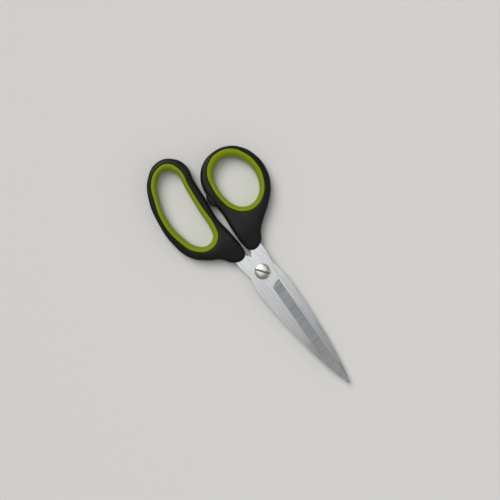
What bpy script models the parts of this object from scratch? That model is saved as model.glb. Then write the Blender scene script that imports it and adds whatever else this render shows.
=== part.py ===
"""Fabric shears, 210 mm long, lying flat and closed.

Two stamped steel blades turn on one screw. Each blade's tang sits in a moulded black handle, and
each handle's bow is lined with a soft lime ring that locks into a groove in the bow.

Frame: the pivot's axis is Z, the tips point to +X, the thumb's handle is at +Y and the fingers'
handle at -Y. The origin is where the pivot's axis meets the underside of the pivot nut.
Everything is in metres.
"""

import math

import bmesh
import bpy
from mathutils import Matrix

# Fits
FIT_GAP = 0.0003  # between a moulded piece and what it is moulded round
PIVOT_GAP = 0.0001  # between neighbours in the pivot

# Blades
BLADE_THICKNESS = 0.0022
SHEAR_GAP = 0.0002  # between the blades' inner faces
EDGE_THICKNESS = 0.0003  # what the grinding leaves at the cutting edge
GRIND_WIDTH = 0.0070  # the ground facet, measured across it from the cutting edge
PIVOT_HOLE_RADIUS = 0.0034
TANG_HOLE_RADIUS = 0.0016
TANG_HOLES = ((-0.0220, 0.0068), (-0.0310, 0.0062))
HEEL = (0.0110, 0.0059)  # the cutting edge's end near the pivot
EDGE_TIP = (0.1005, 0.0011)  # the cutting edge's end near the tip

# Pivot
NUT_FLANGE_RADIUS = 0.0055
NUT_FLANGE_THICKNESS = 0.0013
NUT_BARREL_RADIUS = 0.0033
NUT_BARREL_LENGTH = 0.0020
THREAD_RADIUS = 0.0020
SHANK_RADIUS = 0.0025
BUSHING_RADIUS = 0.0033
WASHER_RADIUS = 0.0058
WASHER_THICKNESS = 0.0005
SPRING_RADIUS = 0.0048
SPRING_THICKNESS = 0.0004
SPRING_RISE = 0.0004
HEAD_RADIUS = 0.0054
HEAD_RIM = 0.0012
HEAD_DOME = 0.0008
SLOT_WIDTH = 0.0014
SLOT_DEPTH = 0.0011
TURNED_STEPS = 32

# Handles
HANDLE_HEIGHT = 0.0110
HANDLE_ROUNDING = 0.0021
LINING_HEIGHT = 0.0114
LINING_ROUNDING = 0.0013
TONGUE_DEPTH = 0.0007  # how far the lining's tongue reaches into the bow's groove
TONGUE_HEIGHT = 0.0024
SHOULDER_FRONT = -0.0152
SHOULDER_SLOPE_START = -0.0300
SHOULDER_SLOPE_DROP = 0.0018  # how much lower the shoulder's face is at its front
BUMPER_HEIGHT = 0.0100
BUMPER_ROUNDING = 0.0006

# Finishes: colour, roughness, metallic
STEEL = ((0.62, 0.62, 0.63), 0.30, 1.0)
BRIGHT_STEEL = ((0.72, 0.72, 0.72), 0.22, 1.0)
NYLON = ((0.80, 0.79, 0.75), 0.45, 0.0)
BLACK_PLASTIC = ((0.012, 0.012, 0.014), 0.45, 0.0)
BLACK_RUBBER = ((0.010, 0.010, 0.010), 0.70, 0.0)
LIME_RUBBER = ((0.24, 0.36, 0.01), 0.50, 0.0)

# Levels, up from the underside of the pivot nut
SHEAR_PLANE = NUT_FLANGE_THICKNESS + PIVOT_GAP + BLADE_THICKNESS + SHEAR_GAP / 2
BLADE_LEVEL = (SHEAR_GAP + BLADE_THICKNESS) / 2  # a blade's middle, from the shear plane
BLADE_TOP = SHEAR_PLANE + SHEAR_GAP / 2 + BLADE_THICKNESS
WASHER_BASE = BLADE_TOP + PIVOT_GAP
SPRING_BASE = WASHER_BASE + WASHER_THICKNESS + PIVOT_GAP
HEAD_BASE = SPRING_BASE + SPRING_RISE + SPRING_THICKNESS + PIVOT_GAP

# The thumb's blade seen from above; the fingers' blade is the same stamping turned over.
# A third word marks a corner, and every other point is passed smoothly.
BLADE_OUTLINE = (
    (0.1019, 0.0001),
    (*EDGE_TIP, "VECTOR"),
    (*HEEL, "VECTOR"),
    (0.0050, 0.0082),
    (-0.0040, 0.0102),
    (-0.0160, 0.0112),
    (-0.0270, 0.0102),
    (-0.0370, 0.0070),
    (-0.0428, 0.0049),
    (-0.0410, 0.0032),
    (-0.0240, 0.0030),
    (-0.0165, 0.0024),
    (-0.0120, -0.0010),
    (-0.0040, -0.0082),
    (0.0080, -0.0113),
    (0.0300, -0.0110),
    (0.0580, -0.0087),
    (0.0830, -0.0050),
    (0.0990, -0.0011),
)

# The handles seen from above
FINGER_HANDLE_OUTLINE = (
    (-0.0172, -0.0022),
    (-0.0220, -0.0009),
    (-0.0340, -0.0009),
    (-0.0500, -0.0022),
    (-0.0660, -0.0003),
    (-0.0820, 0.0015),
    (-0.0930, 0.0036),
    (-0.1025, -0.0003),
    (-0.1081, -0.0110),
    (-0.1033, -0.0236),
    (-0.0900, -0.0332),
    (-0.0730, -0.0379),
    (-0.0550, -0.0389),
    (-0.0390, -0.0348),
    (-0.0298, -0.0258),
    (-0.0245, -0.0182),
    (-0.0180, -0.0131),
    (SHOULDER_FRONT, -0.0070),
)
FINGER_BOW_OUTLINE = (
    (-0.0932, -0.0016),
    (-0.1021, -0.0056),
    (-0.1042, -0.0131),
    (-0.0994, -0.0233),
    (-0.0867, -0.0303),
    (-0.0700, -0.0351),
    (-0.0520, -0.0340),
    (-0.0405, -0.0293),
    (-0.0346, -0.0195),
    (-0.0382, -0.0099),
    (-0.0465, -0.0064),
    (-0.0620, -0.0055),
    (-0.0800, -0.0036),
)
FINGER_HOLE_OUTLINE = (
    (-0.0930, -0.0056),
    (-0.0990, -0.0092),
    (-0.1003, -0.0140),
    (-0.0965, -0.0206),
    (-0.0850, -0.0271),
    (-0.0700, -0.0310),
    (-0.0540, -0.0300),
    (-0.0435, -0.0261),
    (-0.0389, -0.0192),
    (-0.0414, -0.0128),
    (-0.0480, -0.0105),
    (-0.0620, -0.0094),
    (-0.0800, -0.0072),
)
THUMB_HANDLE_OUTLINE = (
    (-0.0172, 0.0022),
    (-0.0220, 0.0009),
    (-0.0340, 0.0009),
    (-0.0500, 0.0025),
    (-0.0620, 0.0022),
    (-0.0720, 0.0026),
    (-0.0812, 0.0068),
    (-0.0876, 0.0148),
    (-0.0893, 0.0240),
    (-0.0866, 0.0350),
    (-0.0795, 0.0431),
    (-0.0690, 0.0476),
    (-0.0570, 0.0478),
    (-0.0455, 0.0432),
    (-0.0362, 0.0342),
    (-0.0298, 0.0250),
    (-0.0242, 0.0178),
    (-0.0180, 0.0131),
    (SHOULDER_FRONT, 0.0070),
)
THUMB_BOW_OUTLINE = (
    (-0.0869, 0.0260),
    (-0.0856, 0.0190),
    (-0.0800, 0.0119),
    (-0.0700, 0.0083),
    (-0.0580, 0.0077),
    (-0.0490, 0.0099),
    (-0.0418, 0.0156),
    (-0.0389, 0.0240),
    (-0.0422, 0.0340),
    (-0.0510, 0.0414),
    (-0.0630, 0.0444),
    (-0.0745, 0.0422),
    (-0.0834, 0.0360),
)
THUMB_HOLE_OUTLINE = (
    (-0.0815, 0.0260),
    (-0.0805, 0.0205),
    (-0.0765, 0.0150),
    (-0.0685, 0.0120),
    (-0.0580, 0.0115),
    (-0.0503, 0.0136),
    (-0.0450, 0.0181),
    (-0.0430, 0.0242),
    (-0.0455, 0.0320),
    (-0.0530, 0.0378),
    (-0.0630, 0.0399),
    (-0.0720, 0.0382),
    (-0.0787, 0.0332),
)

# The rubber stop on the thumb's handle: a lobe that meets the fingers' handle, and a dovetail root
BUMPER_OUTLINE = (
    (-0.0690, 0.0028, "VECTOR"),
    (-0.0668, 0.0011),
    (-0.0636, -0.0003),
    (-0.0602, 0.0000),
    (-0.0578, 0.0018),
    (-0.0570, 0.0030, "VECTOR"),
    (-0.0606, 0.0034, "VECTOR"),
    (-0.0598, 0.0054, "VECTOR"),
    (-0.0658, 0.0054, "VECTOR"),
    (-0.0650, 0.0034, "VECTOR"),
)


def clear_scene():
    for obj in list(bpy.data.objects):
        bpy.data.objects.remove(obj, do_unlink=True)


def new_collection(name):
    collection = bpy.data.collections.new(name)
    bpy.context.scene.collection.children.link(collection)
    return collection


def paint(obj, finish):
    """Gives a part its own material, with the colour, roughness and metallic value of a finish."""
    colour, roughness, metallic = finish
    material = bpy.data.materials.new(obj.name)
    material.use_nodes = True
    shader = material.node_tree.nodes["Principled BSDF"]
    shader.inputs["Base Color"].default_value = (*colour, 1.0)
    shader.inputs["Roughness"].default_value = roughness
    shader.inputs["Metallic"].default_value = metallic
    material.diffuse_color = (*colour, 1.0)
    obj.data.materials.clear()
    obj.data.materials.append(material)


def circle(centre, radius):
    """Four points that an outline's smooth handles turn into a circle."""
    x, y = centre
    return ((x + radius, y), (x, y + radius), (x - radius, y), (x, y - radius))


def flat_curve(name, outlines, height, rounding=0.0, grow=0.0, steps=4, rim_steps=1):
    """A flat piece as a filled 2D curve, level with z = 0. The first outline is its outside and the
    others are holes. rounding is the radius of its rims, and grow moves every wall outwards."""
    data = bpy.data.curves.new(name, "CURVE")
    data.dimensions = "2D"
    data.fill_mode = "BOTH"
    data.resolution_u = steps
    data.extrude = height / 2 - rounding
    data.bevel_depth = rounding
    data.bevel_resolution = rim_steps
    data.offset = grow - rounding
    for points in outlines:
        spline = data.splines.new("BEZIER")
        spline.bezier_points.add(len(points) - 1)
        spline.use_cyclic_u = True
        for knot, point in zip(spline.bezier_points, points):
            knot.co = (point[0], point[1], 0.0)
        for knot, point in zip(spline.bezier_points, points):
            kind = point[2] if len(point) > 2 else "AUTO"
            knot.handle_left_type = kind
            knot.handle_right_type = kind
    return bpy.data.objects.new(name, data)


def flat_solid(name, outlines, height, **settings):
    """The same piece as a closed mesh, which a Boolean can cut or join."""
    curve = flat_curve(name + "_curve", outlines, height, **settings)
    bpy.context.scene.collection.objects.link(curve)
    bpy.context.view_layer.update()
    graph = bpy.context.evaluated_depsgraph_get()
    mesh = bpy.data.meshes.new_from_object(curve.evaluated_get(graph))
    bpy.data.objects.remove(curve)
    mesh.name = name
    shape = bmesh.new()
    shape.from_mesh(mesh)
    bmesh.ops.remove_doubles(shape, verts=shape.verts, dist=1e-6)
    bmesh.ops.recalc_face_normals(shape, faces=shape.faces)
    shape.to_mesh(mesh)
    shape.free()
    return bpy.data.objects.new(name, mesh)


def turned_solid(name, profile, base=0.0):
    """A piece turned round the pivot's axis. profile runs down its outer side, and closes on itself
    when it stays clear of the axis."""
    mesh = bpy.data.meshes.new(name)
    edges = [(i, i + 1) for i in range(len(profile) - 1)]
    if min(radius for radius, _ in profile) > 0:
        edges.append((len(profile) - 1, 0))
    mesh.from_pydata([(radius, 0.0, base + z) for radius, z in profile], edges, [])
    obj = bpy.data.objects.new(name, mesh)
    screw = obj.modifiers.new("turn", "SCREW")
    screw.steps = TURNED_STEPS
    screw.render_steps = TURNED_STEPS
    screw.use_merge_vertices = True
    screw.merge_threshold = 1e-6
    return obj


def box_cutter(name, centre, size, turn=None):
    """A box for cutting, its scale already applied, turned about its own centre."""
    bpy.ops.mesh.primitive_cube_add(size=1.0, location=(0.0, 0.0, 0.0))
    cutter = bpy.context.object
    cutter.name = name
    cutter.data.transform(Matrix.Diagonal((*size, 1.0)))
    cutter.matrix_world = Matrix.Translation(centre) @ (turn or Matrix.Identity(4))
    return cutter


def boolean(target, other, operation):
    modifier = target.modifiers.new(other.name, "BOOLEAN")
    modifier.operation = operation
    modifier.solver = "EXACT"
    modifier.object = other
    file_cutter(other)


def file_cutter(obj):
    """Keeps a helper out of the render and in the cutters' collection."""
    for collection in list(obj.users_collection):
        collection.objects.unlink(obj)
    CUTTERS.objects.link(obj)
    obj.hide_render = True
    obj.display_type = "WIRE"


def place(obj, half, finish, level=0.0):
    """Files a part under the empty of the half that it moves with, and paints it."""
    for collection in list(obj.users_collection):
        collection.objects.unlink(obj)
    SHEARS.objects.link(obj)
    paint(obj, finish)
    obj.parent = half
    obj.location.z = level
    obj.data.shade_smooth()
    obj.data.set_sharp_from_angle(angle=math.radians(35))


def pivot_empty(name):
    """An empty on the pivot's axis, at the origin, that one half of the shears hangs from."""
    empty = bpy.data.objects.new(name, None)
    empty.empty_display_size = 0.01
    SHEARS.objects.link(empty)
    return empty


def mirrored(outline):
    return tuple((point[0], -point[1], *point[2:]) for point in outline)


def blade_outlines(side):
    """The stamping's outside and its three holes, for the thumb's side (1) or the fingers' (-1)."""
    outlines = [BLADE_OUTLINE, circle((0.0, 0.0), PIVOT_HOLE_RADIUS)]
    outlines += [circle(centre, TANG_HOLE_RADIUS) for centre in TANG_HOLES]
    return outlines if side > 0 else [mirrored(outline) for outline in outlines]


def grinding_cutter(side):
    """The stone's sweep: a block whose lower face leans from the outer face down to the edge."""
    length = 0.120
    depth = 0.030
    along = math.atan2(EDGE_TIP[1] - HEEL[1], EDGE_TIP[0] - HEEL[0])
    lean = math.atan2(BLADE_THICKNESS - EDGE_THICKNESS, GRIND_WIDTH)
    block = box_cutter(f"grinding_{side}", (0.0, 0.0, 0.0), (length, depth, depth))
    block.data.transform(Matrix.Translation((length / 2, 0.0, depth / 2)))
    block.data.transform(Matrix.Rotation(-lean, 4, "X"))
    block.data.transform(Matrix.Rotation(along, 4, "Z"))
    edge_level = EDGE_THICKNESS - BLADE_THICKNESS / 2
    block.data.transform(Matrix.Translation((*HEEL, edge_level)))
    if side < 0:
        block.data.transform(Matrix.Rotation(math.pi, 4, "X"))
    return block


def make_blade(name, side, half):
    blade = flat_solid(name, blade_outlines(side), BLADE_THICKNESS, steps=5)
    place(blade, half, STEEL, SHEAR_PLANE + side * BLADE_LEVEL)
    cutter = grinding_cutter(side)
    cutter.location.z = blade.location.z
    boolean(blade, cutter, "DIFFERENCE")


def slope_shoulder(handle, side):
    """Slopes the handle's top and underside down towards the blade."""
    run = SHOULDER_FRONT - SHOULDER_SLOPE_START
    block = 0.040
    for level in (1, -1):
        slope = level * math.atan2(SHOULDER_SLOPE_DROP, run)
        turn = Matrix.Rotation(slope, 4, "Y")
        start = (SHOULDER_SLOPE_START, 0.0, SHEAR_PLANE + level * HANDLE_HEIGHT / 2)
        cutter = box_cutter(f"shoulder_slope_{side}_{level}", start, (block, 3 * block, block))
        cutter.data.transform(Matrix.Translation((block / 2, 0.0, level * block / 2)))
        cutter.matrix_world = Matrix.Translation(start) @ turn
        boolean(handle, cutter, "DIFFERENCE")


def make_handle(name, side, half, outline, bow):
    """A bow and its shank in one moulding, with the tang's pocket and the lining's groove."""
    handle = flat_solid(
        name, [outline], HANDLE_HEIGHT, rounding=HANDLE_ROUNDING, rim_steps=2
    )
    place(handle, half, BLACK_PLASTIC, SHEAR_PLANE)
    hole = flat_solid(f"{name}_hole", [bow], 2 * HANDLE_HEIGHT)
    hole.location.z = SHEAR_PLANE
    boolean(handle, hole, "DIFFERENCE")
    slope_shoulder(handle, side)
    pocket = flat_solid(
        f"{name}_tang_pocket",
        blade_outlines(side),
        BLADE_THICKNESS + 2 * FIT_GAP,
        grow=FIT_GAP,
        steps=5,
    )
    pocket.location.z = SHEAR_PLANE + side * BLADE_LEVEL
    boolean(handle, pocket, "DIFFERENCE")
    groove = flat_solid(
        f"{name}_groove", [bow], TONGUE_HEIGHT + 2 * FIT_GAP, grow=TONGUE_DEPTH + FIT_GAP
    )
    groove.location.z = SHEAR_PLANE
    boolean(handle, groove, "DIFFERENCE")
    return handle


def make_lining(name, half, bow, hole):
    """The soft ring: a rounded bead that the fingers touch, and a tongue that holds it in."""
    lining = flat_solid(
        name, [bow, hole], LINING_HEIGHT, rounding=LINING_ROUNDING, grow=-FIT_GAP
    )
    place(lining, half, LIME_RUBBER, SHEAR_PLANE)
    tongue = flat_solid(f"{name}_tongue", [bow, hole], TONGUE_HEIGHT, grow=TONGUE_DEPTH)
    tongue.location.z = SHEAR_PLANE
    hollow = flat_solid(
        f"{name}_tongue_inside", [bow], 2 * TONGUE_HEIGHT, grow=-LINING_ROUNDING
    )
    hollow.location.z = SHEAR_PLANE
    boolean(tongue, hollow, "DIFFERENCE")
    boolean(lining, tongue, "UNION")


def make_bumper(handle, half):
    """The rubber stop, and the recess that its root is pushed into."""
    bumper = flat_solid(
        "stop_bumper", [BUMPER_OUTLINE], BUMPER_HEIGHT, rounding=BUMPER_ROUNDING
    )
    place(bumper, half, BLACK_RUBBER, SHEAR_PLANE)
    recess = flat_solid("bumper_recess", [BUMPER_OUTLINE], 2 * BUMPER_HEIGHT, grow=FIT_GAP)
    recess.location.z = SHEAR_PLANE
    boolean(handle, recess, "DIFFERENCE")


def make_pivot(finger_half, thumb_half, screw_body):
    """From below: the nut in the fingers' blade, the bushing in the thumb's blade, the bearing
    washer, the spring washer and the screw."""
    bore = THREAD_RADIUS + PIVOT_GAP
    barrel_top = NUT_FLANGE_THICKNESS + NUT_BARREL_LENGTH
    nut = turned_solid(
        "pivot_nut",
        (
            (0.0, NUT_FLANGE_THICKNESS / 2),
            (bore, NUT_FLANGE_THICKNESS / 2),
            (bore, barrel_top),
            (NUT_BARREL_RADIUS, barrel_top),
            (NUT_BARREL_RADIUS, NUT_FLANGE_THICKNESS),
            (NUT_FLANGE_RADIUS, NUT_FLANGE_THICKNESS),
            (NUT_FLANGE_RADIUS, 0.0003),
            (NUT_FLANGE_RADIUS - 0.0003, 0.0),
            (0.0, 0.0),
        ),
    )
    place(nut, finger_half, BRIGHT_STEEL)

    clearance = SHANK_RADIUS + PIVOT_GAP
    bushing = turned_solid(
        "pivot_bushing",
        (
            (clearance, BLADE_THICKNESS),
            (BUSHING_RADIUS, BLADE_THICKNESS),
            (BUSHING_RADIUS, 0.0),
            (clearance, 0.0),
        ),
        base=SHEAR_PLANE + SHEAR_GAP / 2,
    )
    place(bushing, thumb_half, NYLON)

    washer = turned_solid(
        "bearing_washer",
        (
            (clearance, WASHER_THICKNESS),
            (WASHER_RADIUS, WASHER_THICKNESS),
            (WASHER_RADIUS, 0.0),
            (clearance, 0.0),
        ),
        base=WASHER_BASE,
    )
    place(washer, thumb_half, NYLON)

    spring = turned_solid(
        "spring_washer",
        (
            (clearance, SPRING_RISE + SPRING_THICKNESS),
            (SPRING_RADIUS, SPRING_THICKNESS),
            (SPRING_RADIUS, 0.0),
            (clearance, SPRING_RISE),
        ),
        base=SPRING_BASE,
    )
    place(spring, screw_body, BRIGHT_STEEL)

    shank_end = SHEAR_PLANE + SHEAR_GAP / 2 - HEAD_BASE
    screw_end = NUT_FLANGE_THICKNESS / 2 + PIVOT_GAP - HEAD_BASE
    head_top = HEAD_RIM + HEAD_DOME
    screw = turned_solid(
        "pivot_screw",
        (
            (0.0, head_top),
            (HEAD_RADIUS * 0.4, head_top - HEAD_DOME * 0.16),
            (HEAD_RADIUS * 0.75, head_top - HEAD_DOME * 0.56),
            (HEAD_RADIUS, HEAD_RIM),
            (HEAD_RADIUS, 0.0),
            (SHANK_RADIUS, 0.0),
            (SHANK_RADIUS, shank_end),
            (THREAD_RADIUS, shank_end),
            (THREAD_RADIUS, screw_end),
            (0.0, screw_end),
        ),
        base=HEAD_BASE,
    )
    place(screw, screw_body, BRIGHT_STEEL)
    slot_centre = (0.0, 0.0, HEAD_BASE + head_top)
    slot_size = (4 * HEAD_RADIUS, SLOT_WIDTH, 2 * SLOT_DEPTH)
    turn = Matrix.Rotation(math.radians(35), 4, "Z")
    boolean(screw, box_cutter("screw_slot", slot_centre, slot_size, turn), "DIFFERENCE")


clear_scene()
SHEARS = new_collection("fabric_shears")
CUTTERS = new_collection("cutters")
CUTTERS.hide_render = True

finger_side = pivot_empty("finger_side")
thumb_side = pivot_empty("thumb_side")
screw_side = pivot_empty("screw_side")

make_blade("finger_blade", -1, finger_side)
make_blade("thumb_blade", 1, thumb_side)
make_handle("finger_handle", -1, finger_side, FINGER_HANDLE_OUTLINE, FINGER_BOW_OUTLINE)
thumb_handle = make_handle("thumb_handle", 1, thumb_side, THUMB_HANDLE_OUTLINE, THUMB_BOW_OUTLINE)
make_lining("finger_bow_lining", finger_side, FINGER_BOW_OUTLINE, FINGER_HOLE_OUTLINE)
make_lining("thumb_bow_lining", thumb_side, THUMB_BOW_OUTLINE, THUMB_HOLE_OUTLINE)
make_bumper(thumb_handle, thumb_side)
make_pivot(finger_side, thumb_side, screw_side)
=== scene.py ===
"""Fabric shears: two stainless blades on a screw, black moulded handles and soft lime linings."""

import math

import bmesh
import bpy
import numpy as np
from mathutils import Matrix, Vector


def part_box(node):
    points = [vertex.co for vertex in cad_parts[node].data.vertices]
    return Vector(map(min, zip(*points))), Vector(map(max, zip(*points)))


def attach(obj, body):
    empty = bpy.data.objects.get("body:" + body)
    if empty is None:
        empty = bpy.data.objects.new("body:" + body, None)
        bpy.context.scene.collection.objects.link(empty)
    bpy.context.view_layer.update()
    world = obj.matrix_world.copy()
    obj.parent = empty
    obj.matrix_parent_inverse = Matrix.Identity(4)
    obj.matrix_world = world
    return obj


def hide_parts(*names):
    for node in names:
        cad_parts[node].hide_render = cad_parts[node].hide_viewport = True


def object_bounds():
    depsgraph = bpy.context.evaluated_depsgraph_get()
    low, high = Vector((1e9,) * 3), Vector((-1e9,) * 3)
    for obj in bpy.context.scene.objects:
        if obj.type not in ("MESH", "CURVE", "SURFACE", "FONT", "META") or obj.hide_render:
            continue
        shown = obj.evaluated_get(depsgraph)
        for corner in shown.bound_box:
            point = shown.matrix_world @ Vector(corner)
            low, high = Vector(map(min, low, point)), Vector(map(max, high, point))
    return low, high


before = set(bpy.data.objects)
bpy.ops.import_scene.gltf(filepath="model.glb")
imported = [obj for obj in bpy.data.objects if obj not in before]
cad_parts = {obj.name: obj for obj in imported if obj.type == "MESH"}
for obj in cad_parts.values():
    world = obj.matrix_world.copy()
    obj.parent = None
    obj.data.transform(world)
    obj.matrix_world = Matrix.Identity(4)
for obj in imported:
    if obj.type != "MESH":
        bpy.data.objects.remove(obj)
cad_low, cad_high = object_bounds()

# ----------------------------------------------------------------------------------------------
# Blades. Each is stamped from 2.2 mm stainless sheet in one piece with its tang, hardened, and
# polished. A wheel then grinds the cutting bevel along one side, which ends in a hollow at the
# heel. The two are the same stamping, one turned over.
# ----------------------------------------------------------------------------------------------
MM = 0.001
micron = 0.001 * MM
thumb_inner, thumb_outer = (corner.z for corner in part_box("thumb_blade"))
finger_outer, finger_inner = (corner.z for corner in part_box("finger_blade"))
shear_plane = (thumb_inner + finger_inner) / 2

blade_outline = (
    (101.9, 0.0),
    (101.3, 0.75),
    (100.3, 1.1, "corner"),
    (11.0, 5.9, "corner"),
    (5.0, 8.2),
    (-4.0, 10.2),
    (-16.0, 11.2),
    (-27.0, 10.2),
    (-37.0, 7.0),
    (-42.8, 4.9),
    (-41.0, 3.2),
    (-24.0, 3.0),
    (-16.5, 2.4),
    (-12.0, -1.0),
    (-4.0, -8.2),
    (8.0, -11.3),
    (30.0, -11.0),
    (58.0, -8.7),
    (83.0, -5.0),
    (98.6, -1.45),
    (101.2, -0.6),
)
edge_tip = Vector(blade_outline[2][:2]) * MM
heel = Vector(blade_outline[3][:2]) * MM
bevel_width = 7.0 * MM
land = 0.3 * MM  # the steel left at the cutting edge
bevel_lean = math.atan2(thumb_outer - thumb_inner - land, bevel_width)
rim_round = 0.25 * MM
runout_radius = 4.0 * MM
pivot_hole_radius = 3.4 * MM
tang_hole_radius = 1.6 * MM
tang_holes = ((-22.0 * MM, 6.8 * MM), (-31.0 * MM, 6.2 * MM))


def edit(obj, mode="FACE"):
    """Goes into edit mode on one object, with nothing selected."""
    bpy.ops.object.select_all(action="DESELECT")
    obj.select_set(True)
    bpy.context.view_layer.objects.active = obj
    bpy.ops.object.mode_set(mode="EDIT")
    bpy.ops.mesh.select_mode(type=mode)
    bpy.ops.mesh.select_all(action="DESELECT")
    return bmesh.from_edit_mesh(obj.data)


def select(obj, parts, test):
    """Selects only the faces or edges that pass a test."""
    bpy.ops.mesh.select_all(action="DESELECT")
    for part in parts:
        if test(part):
            part.select_set(True)
    bmesh.update_edit_mesh(obj.data)


def done():
    """Leaves edit mode."""
    bpy.ops.object.mode_set(mode="OBJECT")


def level(edge):
    """Whether an edge lies level."""
    return abs(edge.verts[0].co.z - edge.verts[1].co.z) < micron


def draw_outline(name, points, steps=8):
    """Draws a closed outline through points in millimetres, as with the pen, and turns it into a
    loop of edges at z = 0. It bends smoothly at each point that isn't a corner."""
    bpy.ops.object.select_all(action="DESELECT")
    bpy.ops.curve.primitive_bezier_circle_add(radius=1.0, location=(0, 0, 0))
    curve = bpy.context.object
    curve.name = name
    spline = curve.data.splines[0]
    spline.bezier_points.add(max(0, len(points) - len(spline.bezier_points)))
    for knot, point in zip(spline.bezier_points, points):
        knot.co = (point[0] * MM, point[1] * MM, 0.0)
    for knot, point in zip(spline.bezier_points, points):
        kind = "VECTOR" if point[-1] == "corner" else "AUTO"
        knot.handle_left_type = kind
        knot.handle_right_type = kind
    curve.data.dimensions = "2D"
    curve.data.fill_mode = "NONE"
    curve.data.resolution_u = steps
    bpy.ops.object.convert(target="MESH")
    return bpy.context.object


def raise_plate(obj, low, high):
    """Fills a loop of edges and extrudes it into a flat plate between two levels."""
    edit(obj, "EDGE")
    bpy.ops.mesh.select_all(action="SELECT")
    bpy.ops.mesh.remove_doubles(threshold=micron)
    bpy.ops.mesh.edge_face_add()
    bpy.ops.transform.translate(value=(0, 0, low))
    bpy.ops.mesh.extrude_region_move(TRANSFORM_OT_translate={"value": (0, 0, high - low)})
    bpy.ops.mesh.select_all(action="SELECT")
    bpy.ops.mesh.normals_make_consistent(inside=False)
    done()


def cut(obj, cutter, operation="DIFFERENCE"):
    """Cuts one mesh with another, and removes the cutter."""
    bpy.ops.object.select_all(action="DESELECT")
    bpy.context.view_layer.objects.active = obj
    obj.select_set(True)
    modifier = obj.modifiers.new("cut", "BOOLEAN")
    modifier.operation = operation
    modifier.solver = "EXACT"
    modifier.object = cutter
    bpy.ops.object.modifier_apply(modifier=modifier.name)
    bpy.data.objects.remove(cutter)


def turned_disc(name, radius, low, high, around=96):
    """A plain disc or rod on the pivot's axis, between two levels."""
    bpy.ops.object.select_all(action="DESELECT")
    bpy.ops.mesh.primitive_cylinder_add(
        vertices=around, radius=radius, depth=high - low, location=(0, 0, 0)
    )
    disc = bpy.context.object
    disc.name = name
    disc.data.transform(Matrix.Translation((0, 0, (low + high) / 2)))
    return disc


def drill(obj, place, radius):
    """Drills right through a plate at a place."""
    drill_bit = turned_disc("drill_bit", radius, -30 * MM, 30 * MM, around=64)
    drill_bit.data.transform(Matrix.Translation((place[0], place[1], 0)))
    cut(obj, drill_bit)


def smooth(obj, degrees, flats=True):
    """Shades edges gentler than an angle smooth, and keeps the flat faces between them flat."""
    bpy.ops.object.select_all(action="DESELECT")
    obj.select_set(True)
    bpy.context.view_layer.objects.active = obj
    bpy.ops.object.shade_smooth_by_angle(angle=math.radians(degrees))
    if flats:
        modifier = obj.modifiers.new("flats", "WEIGHTED_NORMAL")
        modifier.keep_sharp = True
        bpy.ops.object.modifier_apply(modifier=modifier.name)


def turn_over(obj):
    """Turns a piece over about the line that both blades close on."""
    flip = Matrix.Translation((0, 0, shear_plane)) @ Matrix.Rotation(math.pi, 4, "X")
    obj.data.transform(flip @ Matrix.Translation((0, 0, -shear_plane)))


def blank(name):
    """The thumb blade's blank, before any grinding."""
    plate = draw_outline(name, blade_outline)
    raise_plate(plate, thumb_inner, thumb_outer)
    return plate


def beside_edge(point):
    """How far a point lies outside the line of the cutting edge."""
    forward = (edge_tip - heel).normalized()
    offset = Vector((point.x, point.y)) - heel
    return forward.x * offset.y - forward.y * offset.x


def grinding_wheel():
    """The sweep of the wheel: its lower face leans from the outer face down to the edge, and its
    rear corner is round, as the wheel is."""
    reach = 120 * MM
    depth = 30 * MM
    bpy.ops.object.select_all(action="DESELECT")
    bpy.ops.mesh.primitive_cube_add(size=1.0, location=(0, 0, 0))
    wheel = bpy.context.object
    wheel.data.transform(Matrix.Diagonal((reach, depth, depth, 1.0)))
    wheel.data.transform(Matrix.Translation((reach / 2, 0, depth / 2)))
    edges = edit(wheel, "EDGE").edges
    select(wheel, edges, lambda e: all(v.co.x < micron and v.co.z < micron for v in e.verts))
    bpy.ops.mesh.bevel(offset=runout_radius, segments=10, affect="EDGES")
    done()
    edge_turn = math.atan2(edge_tip.y - heel.y, edge_tip.x - heel.x)
    wheel.data.transform(Matrix.Rotation(-bevel_lean, 4, "X"))
    wheel.data.transform(Matrix.Rotation(edge_turn, 4, "Z"))
    wheel.data.transform(Matrix.Translation((heel.x, heel.y, thumb_inner + land)))
    return wheel


def ground_blade(name):
    """The thumb blade, finished: its rims rounded, except for the cutting edge, its bevel ground,
    and its holes drilled. Material 1 is the wheel's finish and 2 the rims'."""
    blade = blank(name)
    edges = edit(blade, "EDGE").edges
    select(
        blade,
        edges,
        lambda e: level(e) and not all(abs(beside_edge(v.co)) < 0.05 * MM for v in e.verts),
    )
    bpy.ops.mesh.bevel(offset=rim_round, segments=8, affect="EDGES", clamp_overlap=True)
    done()
    cut(blade, grinding_wheel())
    drill(blade, (0, 0), pivot_hole_radius)
    for place in tang_holes:
        drill(blade, place, tang_hole_radius)
    for face in blade.data.polygons:
        on_bevel = abs(face.normal.z - math.cos(bevel_lean)) < 0.004 and face.center.x > heel.x
        in_runout = (
            heel.x < face.center.x < heel.x + runout_radius
            and -bevel_width < beside_edge(face.center) < -0.01 * MM
            and 0.4 < face.normal.z < 0.9999
        )
        if on_bevel or in_runout:
            face.material_index = 1
        elif abs(face.normal.z) < 0.8:
            face.material_index = 2
    return blade


def linear(colour):
    """An sRGB colour such as "9AA51F", as the linear colour that a shader takes."""
    channels = [int(colour[i : i + 2], 16) / 255 for i in (0, 2, 4)]
    bent = [c / 12.92 if c <= 0.04045 else ((c + 0.055) / 1.055) ** 2.4 for c in channels]
    return (*bent, 1.0)


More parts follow.
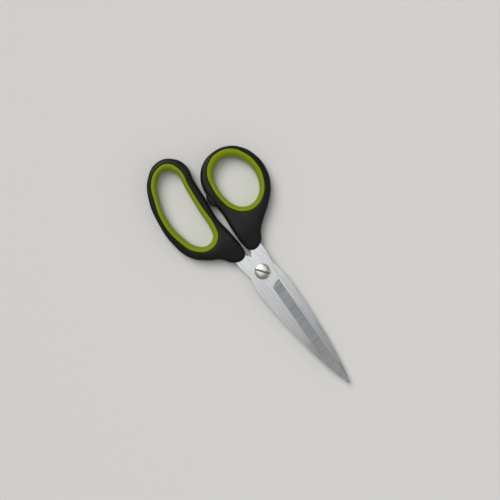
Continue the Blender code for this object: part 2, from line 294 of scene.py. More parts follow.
def add_node(tree, kind, settings=None, links=None):
    """Adds a node, sets its properties and inputs, and links other nodes' outputs into it."""
    node = tree.nodes.new(kind)
    for key, value in (settings or {}).items():
        if isinstance(key, str) and hasattr(node, key):
            setattr(node, key, value)
        else:
            node.inputs[key].default_value = value
    for key, source in (links or {}).items():
        tree.links.new(source, node.inputs[key])
    return node


def new_material(name, settings):
    """A material with only its Principled shader, whose constants it sets. Returns the material,
    its tree and the shader."""
    material = bpy.data.materials.new(name)
    material.use_nodes = True
    shader = material.node_tree.nodes["Principled BSDF"]
    for key, value in settings.items():
        shader.inputs[key].default_value = value
    return material, material.node_tree, shader


# Stainless steel, polished with a fine belt along the blade: bright, with faint lengthwise lines
# and soft smears where it has been wiped.
def stainless(name, scratch_scale, roughness_low, roughness_high, bump):
    material, tree, shader = new_material(name, {"Metallic": 1.0})
    place = add_node(tree, "ShaderNodeTexCoord")
    lines = add_node(
        tree,
        "ShaderNodeMapping",
        {"Scale": scratch_scale},
        {"Vector": place.outputs["Object"]},
    )
    scratches = add_node(
        tree,
        "ShaderNodeTexNoise",
        {"Scale": 1.0, "Detail": 3.0, "Roughness": 0.6},
        {"Vector": lines.outputs["Vector"]},
    )
    smears = add_node(
        tree,
        "ShaderNodeTexNoise",
        {"Scale": 70.0, "Detail": 2.0, "Roughness": 0.5},
        {"Vector": place.outputs["Object"]},
    )
    mixed = add_node(
        tree,
        "ShaderNodeMath",
        {"operation": "MULTIPLY"},
        {0: scratches.outputs["Fac"], 1: smears.outputs["Fac"]},
    )
    rough = add_node(
        tree,
        "ShaderNodeMapRange",
        {"From Min": 0.12, "From Max": 0.42, "To Min": roughness_low, "To Max": roughness_high},
        {"Value": mixed.outputs["Value"]},
    )
    tree.links.new(rough.outputs["Result"], shader.inputs["Roughness"])
    contrast = add_node(
        tree,
        "ShaderNodeMapRange",
        {"From Min": 0.32, "From Max": 0.68},
        {"Value": scratches.outputs["Fac"]},
    )
    tone = add_node(
        tree,
        "ShaderNodeMix",
        {"data_type": "RGBA", 6: linear("ABADAF"), 7: linear("D0D1D1")},
        {0: contrast.outputs["Result"]},
    )
    tree.links.new(tone.outputs[2], shader.inputs["Base Color"])
    relief = add_node(
        tree,
        "ShaderNodeBump",
        {"Strength": bump, "Distance": 0.00002},
        {"Height": scratches.outputs["Fac"]},
    )
    tree.links.new(relief.outputs["Normal"], shader.inputs["Normal"])
    return material


# Polishing lines run along the blade, about 0.3 mm apart, which is coarser than real ones so that
# they show. The wheel's lines run across the bevel, and the belt's lines run round the rim.
polished_steel = stainless("polished_stainless", (40.0, 3200.0, 3200.0), 0.24, 0.36, 0.05)
ground_steel = stainless("wheel_ground_stainless", (2600.0, 60.0, 60.0), 0.30, 0.48, 0.35)
rim_steel = stainless("linished_stainless", (50.0, 50.0, 4500.0), 0.28, 0.42, 0.20)

for node, body, upper in (
    ("thumb_blade", "thumb_half", True),
    ("finger_blade", "finger_half", False),
):
    blade = ground_blade(f"{node}_ground")
    blade.data.materials.append(polished_steel)
    blade.data.materials.append(ground_steel)
    blade.data.materials.append(rim_steel)
    if not upper:
        turn_over(blade)
    smooth(blade, 12)
    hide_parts(node)
    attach(blade, body)

# ----------------------------------------------------------------------------------------------
# Handles. Each is one moulding of black plastic round the tang: a shank that ends in a shoulder
# behind the pivot, and a bow. The mould parts at the blades' plane, so the walls lean in from
# there, and the faces are rounded for the hand.
# ----------------------------------------------------------------------------------------------
handle_half_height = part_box("finger_handle")[1].z - shear_plane
flash = ((-0.07 * MM, 0.0), (-0.05 * MM, 0.09 * MM), (0.0, 0.17 * MM))  # thin, at the parting line
wall_draft = 0.25 * MM
wall_top = 3.0 * MM
outer_round = 3.4 * MM
crown = 0.22 * MM
lip_round = 0.5 * MM
handle_stations = 340
tang_gap = 0.2 * MM
shoulder_start = -34.0 * MM
shoulder_front = -15.2 * MM
shoulder_drop = 0.33  # the share of its height that the handle loses on the way to the front

finger_outline = (
    (-17.2, -2.2),
    (-22.0, -0.9),
    (-34.0, -0.9),
    (-50.0, -2.2),
    (-66.0, -0.3),
    (-82.0, 1.5),
    (-93.0, 3.6),
    (-102.5, -0.3),
    (-108.1, -11.0),
    (-103.3, -23.6),
    (-90.0, -33.2),
    (-73.0, -37.9),
    (-55.0, -38.9),
    (-39.0, -34.8),
    (-29.8, -25.8),
    (-24.5, -18.2),
    (-18.0, -13.1),
    (-15.2, -7.0),
)
finger_bow = (
    (-93.2, -1.6),
    (-102.1, -5.6),
    (-104.2, -13.1),
    (-99.4, -23.3),
    (-86.7, -30.3),
    (-70.0, -35.1),
    (-52.0, -34.0),
    (-40.5, -29.3),
    (-34.6, -19.5),
    (-38.2, -9.9),
    (-46.5, -6.4),
    (-62.0, -5.5),
    (-80.0, -3.6),
)
# places on the handle's outline and on its bow that face each other
finger_facing = (
    ((-15.2, -7.0), (-35.2, -15.8)),
    ((-17.2, -2.2), (-36.6, -12.2)),
    ((-34.0, -0.9), (-41.0, -8.0)),
    ((-50.0, -2.2), (-49.0, -6.2)),
    ((-66.0, -0.3), (-65.0, -4.9)),
    ((-82.0, 1.5), (-81.5, -2.8)),
    ((-93.0, 3.6), (-92.6, -1.0)),
    ((-102.5, -0.3), (-100.5, -3.4)),
    ((-108.1, -11.0), (-104.7, -11.5)),
    ((-103.3, -23.6), (-100.8, -22.4)),
    ((-90.0, -33.2), (-88.6, -30.2)),
    ((-73.0, -37.9), (-72.6, -34.7)),
    ((-55.0, -38.9), (-55.4, -34.6)),
    ((-39.0, -34.8), (-42.4, -30.6)),
    ((-29.8, -25.8), (-36.6, -25.4)),
    ((-18.0, -13.1), (-34.6, -19.6)),
)
thumb_outline = (
    (-17.2, 2.2),
    (-22.0, 0.9),
    (-34.0, 0.9),
    (-50.0, 2.5),
    (-62.0, 2.2),
    (-72.0, 2.6),
    (-81.2, 6.8),
    (-87.6, 14.8),
    (-89.3, 24.0),
    (-86.6, 35.0),
    (-79.5, 43.1),
    (-69.0, 47.6),
    (-57.0, 47.8),
    (-45.5, 43.2),
    (-36.2, 34.2),
    (-29.8, 25.0),
    (-24.2, 17.8),
    (-18.0, 13.1),
    (-15.2, 7.0),
)
thumb_bow = (
    (-86.9, 26.0),
    (-85.6, 19.0),
    (-80.0, 11.9),
    (-70.0, 8.3),
    (-58.0, 7.7),
    (-49.0, 9.9),
    (-41.8, 15.6),
    (-38.9, 24.0),
    (-42.2, 34.0),
    (-51.0, 41.4),
    (-63.0, 44.4),
    (-74.5, 42.2),
    (-83.4, 36.0),
)
thumb_facing = (
    ((-15.2, 7.0), (-39.6, 19.4)),
    ((-17.2, 2.2), (-41.6, 15.8)),
    ((-34.0, 0.9), (-46.6, 11.3)),
    ((-50.0, 2.5), (-53.4, 8.4)),
    ((-62.0, 2.2), (-61.8, 7.5)),
    ((-72.0, 2.6), (-70.4, 8.4)),
    ((-81.2, 6.8), (-78.8, 11.1)),
    ((-87.6, 14.8), (-84.4, 16.8)),
    ((-89.3, 24.0), (-86.8, 24.4)),
    ((-86.6, 35.0), (-84.4, 34.2)),
    ((-79.5, 43.1), (-77.6, 40.6)),
    ((-69.0, 47.6), (-68.0, 43.9)),
    ((-57.0, 47.8), (-57.8, 43.7)),
    ((-45.5, 43.2), (-49.0, 40.3)),
    ((-36.2, 34.2), (-42.4, 33.6)),
    ((-29.8, 25.0), (-39.3, 27.6)),
    ((-18.0, 13.1), (-38.9, 22.6)),
)


def drawn_line(points):
    """The outline through some points, as a dense closed row of places, anticlockwise."""
    drawing = draw_outline("drawing", points, steps=24)
    places = np.array([vertex.co[:2] for vertex in drawing.data.vertices])
    bpy.data.objects.remove(drawing)
    following = np.roll(places, -1, axis=0)
    area = (places[:, 0] * following[:, 1] - following[:, 0] * places[:, 1]).sum()
    return places if area > 0 else places[::-1]


def along(places):
    """The distance along a closed row of places to each of them, and all round."""
    steps = np.linalg.norm(np.roll(places, -1, axis=0) - places, axis=1)
    return np.concatenate([[0.0], np.cumsum(steps)])


def place_at(places, distances, at):
    """The places at some distances along a closed row."""
    closed = np.vstack([places, places[:1]])
    at = np.mod(at, distances[-1])
    return np.stack([np.interp(at, distances, closed[:, i]) for i in (0, 1)], axis=1)


def face_each_other(outer_points, inner_points, facing, count):
    """Stations round two outlines at once: rows of places that face each other."""
    outer, inner = drawn_line(outer_points), drawn_line(inner_points)
    outer_run, inner_run = along(outer), along(inner)
    marks = []
    for outer_mark, inner_mark in facing:
        near_outer = np.linalg.norm(outer - np.array(outer_mark) * MM, axis=1).argmin()
        near_inner = np.linalg.norm(inner - np.array(inner_mark) * MM, axis=1).argmin()
        marks.append((outer_run[near_outer], inner_run[near_inner]))
    marks.sort()
    outer_marks = np.array([mark[0] for mark in marks])
    inner_marks = np.array([mark[1] for mark in marks])
    inner_marks = inner_marks[0] + np.mod(inner_marks - inner_marks[0], inner_run[-1])
    outer_marks = np.append(outer_marks, outer_marks[0] + outer_run[-1])
    inner_marks = np.append(inner_marks, inner_marks[0] + inner_run[-1])
    at = outer_marks[0] + np.arange(count) / count * outer_run[-1]
    inner_at = np.interp(at, outer_marks, inner_marks)
    # rounding the pairing's corners keeps the rows from kinking
    slack = inner_at - at / outer_run[-1] * inner_run[-1]
    blur = np.hanning(count // 20)
    blur /= blur.sum()
    wide = np.concatenate([slack, slack, slack])
    slack = np.convolve(wide, blur, mode="same")[count : 2 * count]
    inner_at = slack + at / outer_run[-1] * inner_run[-1]
    return place_at(outer, outer_run, at), place_at(inner, inner_run, inner_at)


def skin(name, rows):
    """Builds a closed ring from a circle: the circle takes the first row's places, and its edge
    is extruded from row to row until it meets itself."""
    count = len(rows[0])
    bpy.ops.object.select_all(action="DESELECT")
    bpy.ops.mesh.primitive_circle_add(vertices=count, radius=0.05, location=(0, 0, 0))
    obj = bpy.context.object
    obj.name = name
    bpy.ops.object.mode_set(mode="EDIT")
    bpy.ops.mesh.select_mode(type="EDGE")
    bpy.ops.mesh.select_all(action="SELECT")
    mesh = bmesh.from_edit_mesh(obj.data)
    station = mesh.verts.layers.int.new("station")
    for number, vertex in enumerate(sorted(mesh.verts, key=lambda v: v.index)):
        vertex[station] = number
        vertex.co = rows[0][number]
    bmesh.update_edit_mesh(obj.data)
    for row in [*rows[1:], rows[0]]:
        bpy.ops.mesh.extrude_edges_move()
        mesh = bmesh.from_edit_mesh(obj.data)
        station = mesh.verts.layers.int["station"]
        for vertex in mesh.verts:
            if vertex.select:
                vertex.co = row[vertex[station]]
        bmesh.update_edit_mesh(obj.data)
    bpy.ops.mesh.select_all(action="SELECT")
    bpy.ops.mesh.remove_doubles(threshold=0.1 * micron)
    bpy.ops.mesh.normals_make_consistent(inside=False)
    mesh = bmesh.from_edit_mesh(obj.data)
    mesh.verts.layers.int.remove(mesh.verts.layers.int["station"])
    bmesh.update_edit_mesh(obj.data)
    done()
    return obj


def ease(value):
    """Turns a straight ramp from 0 to 1 into one that starts and ends softly."""
    value = np.clip(value, 0.0, 1.0)
    return value * value * (3 - 2 * value)


def handle_rows(outer, inner):
    """The handle's section at every station, as rows: up the outer wall, over the rounded face,
    down into the bow, and back underneath."""
    across = inner - outer
    width = np.linalg.norm(across, axis=1)
    direction = across / width[:, None]
    tangent = np.roll(outer, -1, axis=0) - np.roll(outer, 1, axis=0)
    tangent /= np.linalg.norm(tangent, axis=1)[:, None]
    slant = np.abs(tangent[:, 0] * direction[:, 1] - tangent[:, 1] * direction[:, 0])
    slant = np.clip(slant, 0.45, 1.0)
    # a station that crosses the wall at a slant gets a longer run, so that the round stays round
    round_width = np.minimum(outer_round / slant, 0.62 * width)
    lip = np.minimum(lip_round, 0.16 * width)
    round_top = handle_half_height - crown
    ones = np.ones(len(width))
    wall = [(wall_draft * (z / wall_top) ** 2, z) for z in np.linspace(0.8 * MM, wall_top, 4)]
    upper = [(inset * ones, z * ones) for inset, z in (*flash, *wall)]
    for turn in np.linspace(0, math.pi / 2, 10)[1:]:
        run = wall_draft + (round_width - wall_draft) * (1 - math.cos(turn))
        upper.append((run, (wall_top + (round_top - wall_top) * math.sin(turn)) * ones))
    flat = width - lip - round_width
    for share in (0.12, 0.3, 0.5, 0.7, 0.88, 1.0):
        rise = crown * math.sin(share * math.pi / 2)
        upper.append((round_width + flat * share, (round_top + rise) * ones))
    for turn in np.linspace(0, math.pi / 2, 5)[1:]:
        run = width - lip + lip * math.sin(turn)
        upper.append((run, handle_half_height - lip * (1 - math.cos(turn))))
    upper.append((width, 2.4 * MM * ones))
    upper.append((width, 0 * ones))
    rows = []
    for sign, part in ((1, upper), (-1, upper[-2:0:-1])):
        for run, z in part:
            place = outer + direction * run[:, None]
            drop = 1 - shoulder_drop * ease(
                (place[:, 0] - shoulder_start) / (shoulder_front - shoulder_start)
            )
            rows.append(np.column_stack([place, shear_plane + sign * z * drop]))
    return rows


# Moulded black plastic with a fine spark-eroded grain: nearly black, satin, a little greyer where
# hands have rubbed it. The grain is drawn about 0.4 mm across, coarser than the real one, to show.
black_plastic, tree, shader = new_material(
    "spark_eroded_black_plastic", {"Specular IOR Level": 0.24}
)
place = add_node(tree, "ShaderNodeTexCoord")
grain = add_node(
    tree,
    "ShaderNodeTexNoise",
    {"Scale": 2500.0, "Detail": 2.0, "Roughness": 0.6},
    {"Vector": place.outputs["Object"]},
)
rubbing = add_node(
    tree,
    "ShaderNodeTexNoise",
    {"Scale": 60.0, "Detail": 4.0, "Roughness": 0.6},
    {"Vector": place.outputs["Object"]},
)
tone = add_node(
    tree,
    "ShaderNodeMix",
    {"data_type": "RGBA", 6: linear("070706"), 7: linear("131312")},
    {0: rubbing.outputs["Fac"]},
)
tree.links.new(tone.outputs[2], shader.inputs["Base Color"])
rough = add_node(
    tree,
    "ShaderNodeMapRange",
    {"From Min": 0.3, "From Max": 0.7, "To Min": 0.50, "To Max": 0.38},
    {"Value": rubbing.outputs["Fac"]},
)
tree.links.new(rough.outputs["Result"], shader.inputs["Roughness"])
relief = add_node(
    tree,
    "ShaderNodeBump",
    {"Strength": 0.35, "Distance": 0.00006},
    {"Height": grain.outputs["Fac"]},
)
tree.links.new(relief.outputs["Normal"], shader.inputs["Normal"])


def tang_pocket():
    """The space that the tang takes up in a handle. The plastic flows through the tang's holes, so
    two posts are left standing in it."""
    pocket = blank("pocket")
    edit(pocket)
    bpy.ops.mesh.select_all(action="SELECT")
    bpy.ops.transform.shrink_fatten(value=tang_gap, use_even_offset=True)
    done()
    for place in tang_holes:
        drill(pocket, place, tang_hole_radius - tang_gap)
    return pocket


handles = {}
for node, body, upper, outline, bow, facing in (
    ("finger_handle", "finger_half", False, finger_outline, finger_bow, finger_facing),
    ("thumb_handle", "thumb_half", True, thumb_outline, thumb_bow, thumb_facing),
):
    outer, inner = face_each_other(outline, bow, facing, handle_stations)
    handle = skin(f"{node}_moulding", handle_rows(outer, inner))
    pocket = tang_pocket()
    if not upper:
        turn_over(pocket)
    cut(handle, pocket)
    handle.data.materials.clear()
    handle.data.materials.append(black_plastic)
    smooth(handle, 40, flats=False)
    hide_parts(node)
    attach(handle, body)
    handles[node] = handle

# ----------------------------------------------------------------------------------------------
# Bow linings. Each is a ring of soft lime rubber moulded into the bow. Its crest stands just
# proud of the handle beside the joint, and it falls away in a wide round towards the fingers.
# ----------------------------------------------------------------------------------------------
lining_half_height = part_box("finger_bow_lining")[1].z - shear_plane
lining_stations = 260
joint_gap = 0.2 * MM
crest_round = 0.7 * MM
crest = 1.25 * MM  # how far in from the joint the lining is highest
fall = 3.1 * MM
bulge = 0.35 * MM
finger_hole = (
    (-93.0, -5.6),
    (-99.0, -9.2),
    (-100.3, -14.0),
    (-96.5, -20.6),
    (-85.0, -27.1),
    (-70.0, -31.0),
    (-54.0, -30.0),
    (-43.5, -26.1),
    (-38.9, -19.2),
    (-41.4, -12.8),
    (-48.0, -10.5),
    (-62.0, -9.4),
    (-80.0, -7.2),
)
finger_ring_facing = tuple(zip(finger_bow, finger_hole))
thumb_hole = (
    (-81.5, 26.0),
    (-80.5, 20.5),
    (-76.5, 15.0),
    (-68.5, 12.0),
    (-58.0, 11.5),
    (-50.3, 13.6),
    (-45.0, 18.1),
    (-43.0, 24.2),
    (-45.5, 32.0),
    (-53.0, 37.8),
    (-63.0, 39.9),
    (-72.0, 38.2),
    (-78.7, 33.2),
)
thumb_ring_facing = tuple(zip(thumb_bow, thumb_hole))


def lining_rows(outer, inner):
    """The lining's section at every station: a steep outer side with a small round, a crest close
    to it, and a wide round that falls to a slightly bulging inner wall."""
    across = inner - outer
    width = np.linalg.norm(across, axis=1)
    direction = across / width[:, None]
    outer = outer + direction * joint_gap
    width = width - joint_gap
    ones = np.ones(len(width))
    upper = [(0 * ones, 0 * ones), (0 * ones, 2.6 * MM * ones)]
    for turn in np.linspace(0, math.pi / 2, 6):
        z = lining_half_height - crest_round * (1 - math.sin(turn))
        upper.append((crest_round * (1 - math.cos(turn)) * ones, z * ones))
    upper.append((crest * ones, lining_half_height * ones))
    for turn in np.linspace(0, math.pi / 2, 11)[1:]:
        run = crest + (width - bulge - crest) * math.sin(turn)
        upper.append((run, (lining_half_height - fall * (1 - math.cos(turn))) * ones))
    for share in (0.75, 0.5, 0.25, 0.0):
        run = width - bulge * share**2
        upper.append((run, (lining_half_height - fall) * share * ones))
    rows = []
    for sign, part in ((1, upper), (-1, upper[-2:0:-1])):
        for run, z in part:
            place = outer + direction * run[:, None]
            rows.append(np.column_stack([place, shear_plane + sign * z]))
    return rows


# Soft-touch thermoplastic rubber, moulded: lime with a satin bloom that softens its highlights,
# slightly deeper in patches, and a very fine tooth from the tool.
lime_rubber, tree, shader = new_material(
    "soft_touch_lime_rubber",
    {"Specular IOR Level": 0.35, "Specular Tint": linear("C9DC5A")},
)
place = add_node(tree, "ShaderNodeTexCoord")
tooth = add_node(
    tree,
    "ShaderNodeTexNoise",
    {"Scale": 3000.0, "Detail": 2.0, "Roughness": 0.5},
    {"Vector": place.outputs["Object"]},
)
patches = add_node(
    tree,
    "ShaderNodeTexNoise",
    {"Scale": 45.0, "Detail": 3.0, "Roughness": 0.5},
    {"Vector": place.outputs["Object"]},
)
tone = add_node(
    tree,
    "ShaderNodeMix",
    {"data_type": "RGBA", 6: linear("7A890E"), 7: linear("8A9B16")},
    {0: patches.outputs["Fac"]},
)
tree.links.new(tone.outputs[2], shader.inputs["Base Color"])
rough = add_node(
    tree,
    "ShaderNodeMapRange",
    {"From Min": 0.3, "From Max": 0.7, "To Min": 0.34, "To Max": 0.46},
    {"Value": patches.outputs["Fac"]},
)
tree.links.new(rough.outputs["Result"], shader.inputs["Roughness"])
relief = add_node(
    tree,
    "ShaderNodeBump",
    {"Strength": 0.2, "Distance": 0.00004},
    {"Height": tooth.outputs["Fac"]},
)
tree.links.new(relief.outputs["Normal"], shader.inputs["Normal"])

for node, body, bow, hole, facing in (
    ("finger_bow_lining", "finger_half", finger_bow, finger_hole, finger_ring_facing),
    ("thumb_bow_lining", "thumb_half", thumb_bow, thumb_hole, thumb_ring_facing),
):
    outer, inner = face_each_other(bow, hole, facing, lining_stations)
    lining = skin(f"{node}_ring", lining_rows(outer, inner))
    lining.data.materials.clear()
    lining.data.materials.append(lime_rubber)
    smooth(lining, 60, flats=False)
    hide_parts(node)
    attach(lining, body)

# ----------------------------------------------------------------------------------------------
# Stop. A small pad of firm black rubber is pushed by its dovetail root into a notch in the
# thumb's handle. It meets the fingers' handle when the shears close, and takes the knock.
# ----------------------------------------------------------------------------------------------
stop_low, stop_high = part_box("stop_bumper")
stop_outline = (
    (-69.0, 2.8, "corner"),
    (-66.8, 1.1),
    (-63.6, -0.3),
    (-60.2, 0.0),
    (-57.8, 1.8),
    (-57.0, 3.0, "corner"),
    (-60.6, 3.4, "corner"),
    (-59.8, 5.4, "corner"),
    (-65.8, 5.4, "corner"),
    (-65.0, 3.4, "corner"),
)
stop_length = 12.4 * MM
stop_depth = 10 * MM
stop_middle = (-63 * MM, 4.6 * MM)
stop_round = 2.4 * MM
stop_edge_break = 0.18 * MM
root_start = 3.1 * MM  # the dovetail root begins at this distance from the shears' middle line
root_round = 0.6 * MM
notch_growth = 1.035
notch_middle = (-62.8 * MM, 3.6 * MM, 0)


def stop_block(name, low, high):
    """The stop's outline as a plate, with its dovetail's corners rounded."""
    block = draw_outline(name, stop_outline)
    raise_plate(block, low, high)
    edges = edit(block, "EDGE").edges
    select(block, edges, lambda e: not level(e) and e.verts[0].co.y > root_start)
    bpy.ops.mesh.bevel(offset=root_round, segments=4, affect="EDGES")
    done()
    return block


notch = stop_block("notch", -20 * MM, 20 * MM)
edit(notch)
bpy.ops.mesh.select_all(action="SELECT")
bpy.ops.transform.resize(value=(notch_growth, notch_growth, 1.0), center_override=notch_middle)
done()
cut(handles["thumb_handle"], notch)
smooth(handles["thumb_handle"], 40, flats=False)

stop = stop_block("stop_bumper_pad", -20 * MM, 20 * MM)
bpy.ops.object.select_all(action="DESELECT")
bpy.ops.mesh.primitive_cube_add(size=1.0, location=(0, 0, 0))
loaf = bpy.context.object
loaf.data.transform(Matrix.Diagonal((stop_length, stop_depth, stop_high.z - stop_low.z, 1.0)))
loaf.data.transform(Matrix.Translation((*stop_middle, (stop_high.z + stop_low.z) / 2)))
edges = edit(loaf, "EDGE").edges
select(loaf, edges, lambda e: level(e) and not all(v.co.y > stop_middle[1] for v in e.verts))
bpy.ops.mesh.bevel(offset=stop_round, segments=7, affect="EDGES")
done()
cut(stop, loaf, "INTERSECT")
rim = stop.modifiers.new("broken_edges", "BEVEL")
rim.width = stop_edge_break
rim.segments = 2
rim.limit_method = "ANGLE"
rim.angle_limit = math.radians(50)
bpy.ops.object.modifier_apply(modifier=rim.name)

# Firm black rubber: matt, with no grain that the eye can see, and dusty in patches.
black_rubber, tree, shader = new_material(
    "firm_black_rubber", {"Roughness": 0.75, "Specular IOR Level": 0.3}
)
place = add_node(tree, "ShaderNodeTexCoord")
dust = add_node(
    tree,
    "ShaderNodeTexNoise",
    {"Scale": 400.0, "Detail": 4.0, "Roughness": 0.6},
    {"Vector": place.outputs["Object"]},
)
tone = add_node(
    tree,
    "ShaderNodeMix",
    {"data_type": "RGBA", 6: linear("0A0A0A"), 7: linear("151515")},
    {0: dust.outputs["Fac"]},
)
tree.links.new(tone.outputs[2], shader.inputs["Base Color"])
stop.data.materials.clear()
stop.data.materials.append(black_rubber)
smooth(stop, 40)
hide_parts("stop_bumper")
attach(stop, "thumb_half")

# ----------------------------------------------------------------------------------------------
# Pivot screw. Turned from steel bar with a low domed head, then slotted and nickel plated. The
# lathe leaves fine rings on the head. Its shank turns in the thumb's blade, and its thread is in
# the nut.
# ----------------------------------------------------------------------------------------------
screw_low, screw_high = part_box("pivot_screw")
head_radius = screw_high.x
head_rim = 1.2 * MM
head_rim_break = 0.15 * MM
head_dome = 0.8 * MM
dome_steps = 10
slot_width = 1.4 * MM
slot_depth = 1.1 * MM
slot_turn = math.radians(35)
shank_radius = 2.5 * MM
thread_radius = 2.0 * MM


def step_face(obj, up, thickness, depth):
    """Insets the disc's end face, and raises or sinks what is inside it."""
    faces = edit(obj).faces
    end = max(faces, key=lambda f: (round(up * f.calc_center_median().z, 7), f.calc_area()))
    end.select_set(True)
    bmesh.update_edit_mesh(obj.data)
    bpy.ops.mesh.inset(thickness=thickness, depth=depth)
    done()


head_top = screw_high.z
head_base = head_top - head_rim - head_dome
screw = turned_disc("pivot_screw_turned", head_radius, head_base, head_base + head_rim)
edges = edit(screw, "EDGE").edges
select(screw, edges, level)
bpy.ops.mesh.bevel(offset=head_rim_break, segments=3, affect="EDGES")
done()
dome_turns = [step / dome_steps * math.pi / 2 for step in range(dome_steps)]
for lower, upper in zip(dome_turns, dome_turns[1:]):
    narrowing = (head_radius - head_rim_break) * (math.cos(lower) - math.cos(upper))
    step_face(screw, 1, narrowing, head_dome * (math.sin(upper) - math.sin(lower)))
shank = turned_disc("shank", shank_radius, thumb_inner, head_base + head_rim / 2)
cut(screw, shank, "UNION")
thread = turned_disc("thread", thread_radius, screw_low.z, (thumb_inner + head_base) / 2)
cut(screw, thread, "UNION")

bpy.ops.object.select_all(action="DESELECT")
bpy.ops.mesh.primitive_cube_add(size=1.0, location=(0, 0, 0))
slot_cutter = bpy.context.object
slot_cutter.data.transform(Matrix.Diagonal((4 * head_radius, slot_width, 2 * slot_depth, 1.0)))
slot_cutter.data.transform(Matrix.Rotation(slot_turn, 4, "Z"))
slot_cutter.data.transform(Matrix.Translation((0, 0, head_top)))
cut(screw, slot_cutter)

# Bright nickel plate over a turned surface: near-white metal whose lathe rings, 0.25 mm apart,
# spread its highlights into a fan.
nickel, tree, shader = new_material(
    "turned_nickel_plate", {"Metallic": 1.0, "Base Color": linear("D2CFC8")}
)
place = add_node(tree, "ShaderNodeTexCoord")
rings = add_node(
    tree,
    "ShaderNodeTexWave",
    {
        "wave_type": "RINGS",
        "rings_direction": "Z",
        "Scale": 900.0,
        "Distortion": 3.0,
        "Detail": 2.0,
        "Detail Scale": 1.0,
    },
    {"Vector": place.outputs["Object"]},
)
rough = add_node(
    tree,
    "ShaderNodeMapRange",
    {"To Min": 0.22, "To Max": 0.30},
    {"Value": rings.outputs["Fac"]},
)
tree.links.new(rough.outputs["Result"], shader.inputs["Roughness"])
relief = add_node(
    tree,
    "ShaderNodeBump",
    {"Strength": 0.08, "Distance": 0.00001},
    {"Height": rings.outputs["Fac"]},
)
tree.links.new(relief.outputs["Normal"], shader.inputs["Normal"])

# The milled slot is rougher, and its walls and floor are painted in darker, mottled nickel tones:
# painted shade in the slot.
milled_nickel, tree, shader = new_material(
    "milled_nickel_with_painted_shade", {"Metallic": 1.0, "Roughness": 0.5}
)
place = add_node(tree, "ShaderNodeTexCoord")
painted_slot_shade = add_node(
    tree,
    "ShaderNodeTexNoise",
    {"Scale": 900.0, "Detail": 3.0, "Roughness": 0.6},
    {"Vector": place.outputs["Object"]},
)
# both tones are dark nickel, painted shade for the slot, mottled by the noise
tone = add_node(
    tree,
    "ShaderNodeMix",
    {"data_type": "RGBA", 6: linear("4A4843"), 7: linear("8A877F")},
    {0: painted_slot_shade.outputs["Fac"]},
)
tree.links.new(tone.outputs[2], shader.inputs["Base Color"])

screw.data.materials.clear()
screw.data.materials.append(nickel)
screw.data.materials.append(milled_nickel)
# the slot's walls and floor take the darker material: painted shade
across_slot = Vector((-math.sin(slot_turn), math.cos(slot_turn), 0))
for face in screw.data.polygons:
    between_walls = abs(face.center.dot(across_slot)) < slot_width / 2 + 10 * micron
    if between_walls and face.center.z > head_top - slot_depth - 10 * micron:
        face.material_index = 1
smooth(screw, 30)
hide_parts("pivot_screw")
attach(screw, "tension_screw")

# ----------------------------------------------------------------------------------------------
# Washers. A sprung steel cone sits under the screw's head and keeps the blades together, and a
# flat nylon ring under it bears on the thumb's blade. Both are punched from sheet.
# ----------------------------------------------------------------------------------------------
washer_bore = shank_radius + 0.1 * MM
spring_low, spring_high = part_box("spring_washer")
spring_thickness = 0.4 * MM
bearing_low, bearing_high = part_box("bearing_washer")
bearing_edge_break = 0.08 * MM


def punched_ring(name, radius, low, high):
    """A flat ring between two levels, with a bore that clears the screw's shank."""
    ring = turned_disc(name, radius, low, high)
    bore = turned_disc("bore", washer_bore, low - MM, high + MM)
    cut(ring, bore)
    return ring


spring_flat_top = spring_low.z + spring_thickness
spring = punched_ring("spring_washer_cone", spring_high.x, spring_low.z, spring_flat_top)
for vertex in spring.data.vertices:
    out = (Vector(vertex.co[:2]).length - washer_bore) / (spring_high.x - washer_bore)
    vertex.co.z += (1 - out) * (spring_high.z - spring_low.z - spring_thickness)
spring.data.materials.clear()
spring.data.materials.append(nickel)
smooth(spring, 30)
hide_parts("spring_washer")
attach(spring, "tension_screw")

# Nylon 6, moulded and natural in colour: milky, waxy, and faintly cloudy.
nylon, tree, shader = new_material("natural_nylon", {"Roughness": 0.42})
place = add_node(tree, "ShaderNodeTexCoord")
clouds = add_node(
    tree,
    "ShaderNodeTexNoise",
    {"Scale": 500.0, "Detail": 3.0, "Roughness": 0.5},
    {"Vector": place.outputs["Object"]},
)
tone = add_node(
    tree,
    "ShaderNodeMix",
    {"data_type": "RGBA", 6: linear("CFCABA"), 7: linear("E2DFD3")},
    {0: clouds.outputs["Fac"]},
)
tree.links.new(tone.outputs[2], shader.inputs["Base Color"])

bearing = punched_ring("bearing_washer_ring", bearing_high.x, bearing_low.z, bearing_high.z)
edges = edit(bearing, "EDGE").edges
select(bearing, edges, level)
bpy.ops.mesh.bevel(offset=bearing_edge_break, segments=3, affect="EDGES", clamp_overlap=True)
done()
bearing.data.materials.clear()
bearing.data.materials.append(nylon)
smooth(bearing, 30)
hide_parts("bearing_washer")
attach(bearing, "thumb_half")

# ----------------------------------------------------------------------------------------------
# Pivot bushing. A nylon sleeve pressed into the thumb blade's hole, so that the screw doesn't
# wear it. It is wholly inside, so its own solid is kept.
# ----------------------------------------------------------------------------------------------
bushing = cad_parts["pivot_bushing"]
bushing.data.materials.clear()
bushing.data.materials.append(nylon)

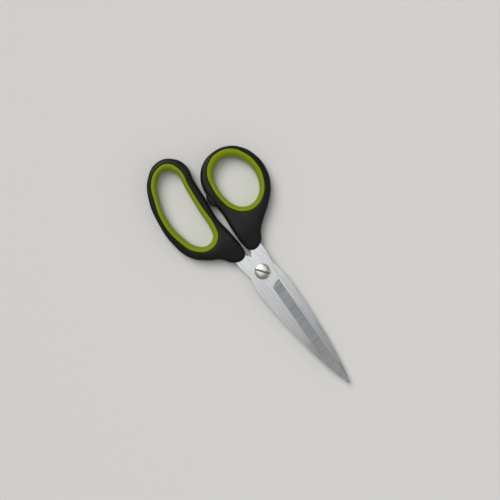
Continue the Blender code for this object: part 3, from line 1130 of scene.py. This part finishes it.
# ----------------------------------------------------------------------------------------------
# Pivot nut. A flanged steel nut, turned and nickel plated, pressed into the fingers' blade from
# below. Its flange is the only part that shows, with a rounded rim and the lathe's centre mark.
# ----------------------------------------------------------------------------------------------
nut_low, nut_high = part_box("pivot_nut")
flange_thickness = 1.3 * MM
flange_round = 0.3 * MM
mark_inset = 0.55 * nut_high.x
mark_depth = 0.15 * MM
barrel_radius = 3.3 * MM
nut_bore = thread_radius + 0.1 * MM
nut = turned_disc("pivot_nut_turned", nut_high.x, nut_low.z, nut_low.z + flange_thickness)
edges = edit(nut, "EDGE").edges
select(nut, edges, lambda e: all(v.co.z < nut_low.z + micron for v in e.verts))
bpy.ops.mesh.bevel(offset=flange_round, segments=3, affect="EDGES")
done()
step_face(nut, -1, mark_inset, 0.0)
step_face(nut, -1, 0.1 * MM, -mark_depth)
flange_middle = nut_low.z + flange_thickness / 2
barrel = turned_disc("barrel", barrel_radius, flange_middle, nut_high.z)
cut(nut, barrel, "UNION")
thread_bore = turned_disc("thread_bore", nut_bore, flange_middle, 2 * nut_high.z)
cut(nut, thread_bore)
nut.data.materials.clear()
nut.data.materials.append(nickel)
smooth(nut, 30)
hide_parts("pivot_nut")
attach(nut, "finger_half")

# ----------------------------------------------------------------------------------------------
# Stage: a plain pale floor, a broad soft key light from the upper left with two soft boxes to
# fill it, and a camera that looks straight down on the shears from arm's length.
# ----------------------------------------------------------------------------------------------
bpy.ops.object.select_all(action="DESELECT")
bpy.ops.mesh.primitive_plane_add(size=12.0, location=(0, 0, cad_low.z))
floor = bpy.context.object
floor.name = "floor"
floor_paint, tree, shader = new_material(
    "pale_matt_paint", {"Roughness": 0.9, "Base Color": linear("E6E4E0")}
)
floor.data.materials.append(floor_paint)

centre = Vector((-17.5 * MM, 2.4 * MM, shear_plane))
view_turn = math.radians(52)
view_right = Vector((math.cos(view_turn), math.sin(view_turn), 0))
view_up = Vector((-math.sin(view_turn), math.cos(view_turn), 0))
up = Vector((0, 0, 1))
camera_height = 0.52
view_width = 0.360


def studio_light(name, kind, direction, distance, power):
    """A light that points at the shears from a direction."""
    bpy.ops.object.light_add(type=kind, location=centre + direction.normalized() * distance)
    light = bpy.context.object
    light.name = name
    light.data.energy = power
    light.rotation_mode = "QUATERNION"
    light.rotation_quaternion = direction.to_track_quat("Z", "Y")
    return light


key_direction = view_up * 0.8 - view_right * 0.7 + up * 1.5
key_light = studio_light("key_light", "SUN", key_direction, 1.3, 1.55)
key_light.data.angle = math.radians(40)
top_direction = view_up * 0.1 - view_right * 0.1 + up
top_light = studio_light("top_light", "AREA", top_direction, 1.6, 3.0)
top_light.data.size = 0.9
fill_direction = view_right * 1.2 - view_up * 0.3 + up * 0.9
fill_light = studio_light("fill_light", "AREA", fill_direction, 1.6, 2.0)
fill_light.data.size = 1.2

world = bpy.data.worlds.new("studio")
world.use_nodes = True
world.node_tree.nodes["Background"].inputs["Color"].default_value = linear("E6E8EA")
world.node_tree.nodes["Background"].inputs["Strength"].default_value = 0.32
bpy.context.scene.world = world
bpy.context.scene.view_settings.view_transform = "Standard"

bpy.ops.object.camera_add(location=centre + up * camera_height)
camera = bpy.context.object
camera.name = "camera"
camera.rotation_mode = "QUATERNION"
camera.rotation_quaternion = Matrix((view_right, view_up, up)).transposed().to_quaternion()
camera.data.sensor_width = 36.0
camera.data.lens = 36.0 * camera_height / view_width
camera.data.clip_start = 0.01
bpy.context.scene.camera = camera
